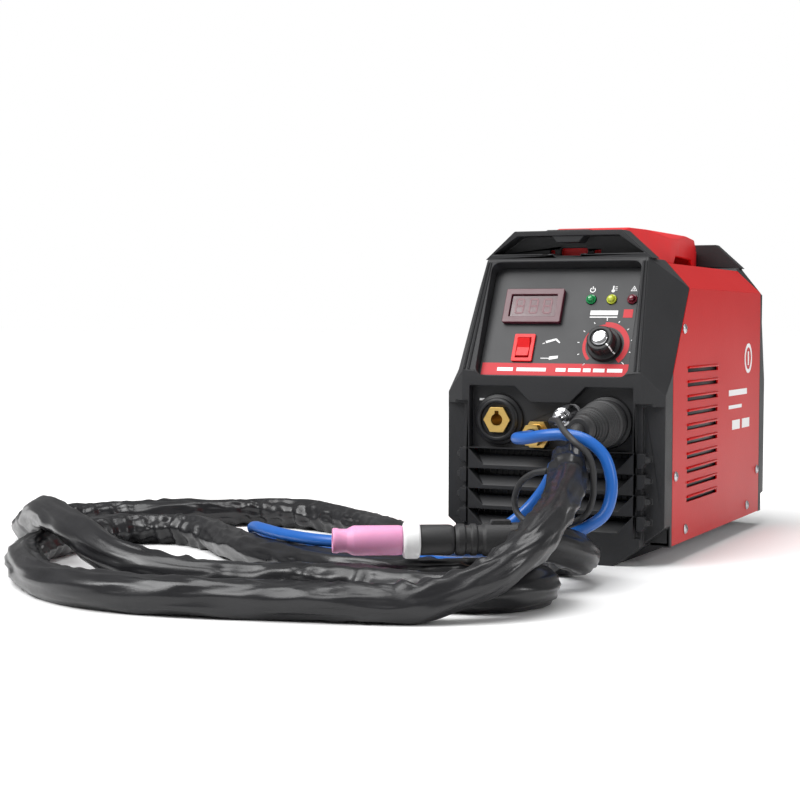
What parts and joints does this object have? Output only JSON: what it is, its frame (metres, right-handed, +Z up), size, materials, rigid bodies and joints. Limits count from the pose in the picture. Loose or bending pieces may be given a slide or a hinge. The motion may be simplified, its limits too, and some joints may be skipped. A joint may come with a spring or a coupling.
{
  "type": "tig welder",
  "caption": "Small inverter TIG welding power source with a carry handle, leaning control panel, twist-lock sockets and a torch on a sleeved cable.",
  "frame": {"origin": "centre of the footprint of the power source without its torch, at the height of its feet", "axes": "+X to the right seen from the front, +Y towards the back, +Z up; the control panel faces -Y"},
  "size_m": [0.5475, 0.6868, 0.2591],
  "materials": {
    "black_abs": "fine moulded grain",
    "red_steel": "smooth powder coat",
    "red_plastic": "satin",
    "zinc_steel": "bright zinc plate",
    "panel": "printed film, satin",
    "display_bezel": "dark red",
    "display_glass": "dark red filter",
    "lamp_green": "clear lens",
    "lamp_yellow": "clear lens",
    "lamp_red": "clear lens",
    "gloss_black": "satin to gloss",
    "brass": "turned",
    "chrome": "polished",
    "circuit_board": "solder mask",
    "aluminium": "extruded",
    "ferrite": "satin",
    "copper": "enamelled wire",
    "sleeve": "creased, satin",
    "hose_blue": "smooth",
    "rubber_black": "matt",
    "ceramic": "fired alumina, satin",
    "ptfe": "satin white",
    "tungsten": "ground"
  },
  "bodies": {
    "machine": {"base_plate": "zinc_steel", "bulk_capacitor": "ferrite", "cable_gland": "black_abs", "carry_handle": "red_plastic", "ceramic_nozzle": "ceramic", "control_cable": "rubber_black", "control_panel": "panel", "control_plug": "chrome", "control_socket": "chrome", "cover": "red_steel", "cover_screw_left_1": "zinc_steel", "cover_screw_left_2": "zinc_steel", "cover_screw_left_3": "zinc_steel", "cover_screw_left_4": "zinc_steel", "cover_screw_left_5": "zinc_steel", "cover_screw_right_1": "zinc_steel", "cover_screw_right_2": "zinc_steel", "cover_screw_right_3": "zinc_steel", "cover_screw_right_4": "zinc_steel", "cover_screw_right_5": "zinc_steel", "display_board": "circuit_board", "display_frame": "display_bezel", "display_window": "display_glass", "earth_stud": "brass", "electrode": "tungsten", "fan_frame": "black_abs", "fan_guard": "zinc_steel", "front_bezel": "black_abs", "gas_hose": "hose_blue", "gas_inlet": "brass", "gas_outlet": "brass", "gas_valve": "zinc_steel", "heat_sink_left": "aluminium", "heat_sink_right": "aluminium", "hose_nut": "brass", "insulating_ring": "ptfe", "lamp_heat": "lamp_yellow", "lamp_overcurrent": "lamp_red", "lamp_power": "lamp_green", "mains_switch_body": "gloss_black", "mode_switch_body": "red_plastic", "potentiometer": "zinc_steel", "power_board": "circuit_board", "rear_bezel": "black_abs", "socket_negative": "gloss_black", "socket_negative_contact": "brass", "socket_positive": "gloss_black", "socket_positive_contact": "brass", "torch_handle": "black_abs", "torch_head": "rubber_black", "torch_lead": "rubber_black", "torch_plug_boot": "rubber_black", "torch_sleeve": "sleeve", "transformer_core": "ferrite", "transformer_winding": "copper"},
    "knob": {"current_knob": "gloss_black"},
    "mode_switch": {"mode_rocker": "red_plastic"},
    "mains_switch": {"mains_rocker": "red_plastic"},
    "fan": {"fan_rotor": "black_abs"},
    "trigger": {"torch_trigger": "red_plastic"}
  },
  "joints": [
    {"name": "current_knob_turn", "type": "hinge", "parent": "machine", "child": "knob", "pos_m": [0.038, -0.15359, 0.16534], "axis": [0, -0.9051, 0.4253], "range_deg": [-20, 280]},
    {"name": "mode_rocker_tilt", "type": "hinge", "parent": "machine", "child": "mode_switch", "pos_m": [-0.027, -0.15487, 0.16263], "axis": [1, 0, 0], "range_deg": [-28, 0]},
    {"name": "mains_rocker_tilt", "type": "hinge", "parent": "machine", "child": "mains_switch", "pos_m": [-0.034, 0.1575, 0.178], "axis": [1, 0, 0], "range_deg": [0, 24]},
    {"name": "fan_spin", "type": "hinge", "parent": "machine", "child": "fan", "pos_m": [0, 0.1432, 0.078], "axis": [0, 1, 0], "continuous": true},
    {"name": "torch_trigger_press", "type": "slide", "parent": "machine", "child": "trigger", "axis": [0, 0, -1], "range_m": [0, 0.002], "stiffness_N_per_m": 500, "springref_m": -0.002}
  ]
}
